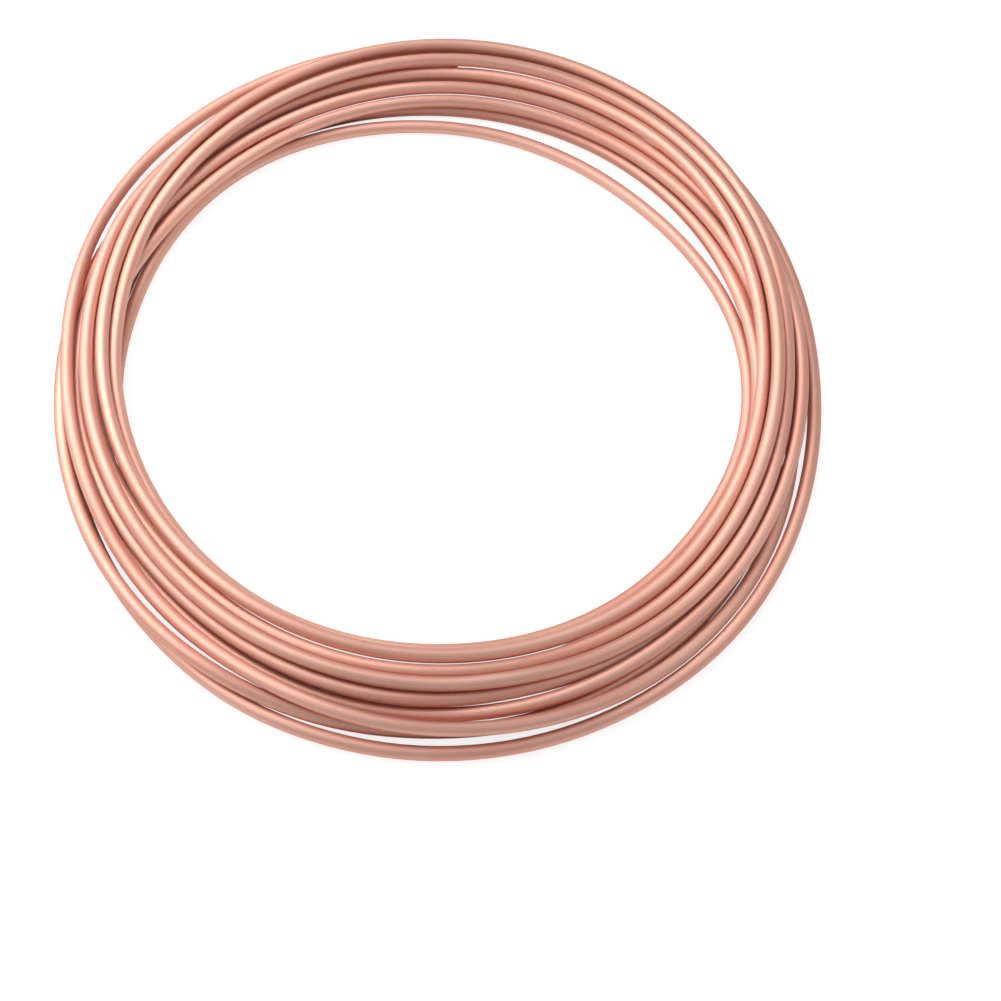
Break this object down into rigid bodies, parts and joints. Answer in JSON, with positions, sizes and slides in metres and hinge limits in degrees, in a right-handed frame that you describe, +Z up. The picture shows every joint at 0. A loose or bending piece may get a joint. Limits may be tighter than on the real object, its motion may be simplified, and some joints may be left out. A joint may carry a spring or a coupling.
{
  "type": "copper tube coil",
  "caption": "Loose coil of thin-walled copper tube, one unbroken length in eleven overlapping round turns, lying flat with both ends open.",
  "frame": {"origin": "middle of the coil's outline, on the floor it lies on", "axes": "+Z up out of the floor, +X to the right and +Y to the back as the picture looks at the coil"},
  "size_m": [0.355, 0.3754, 0.0243],
  "materials": {
    "copper": "bright drawn copper, satin"
  },
  "bodies": {
    "root": {"copper_tube": "copper"}
  },
  "joints": []
}
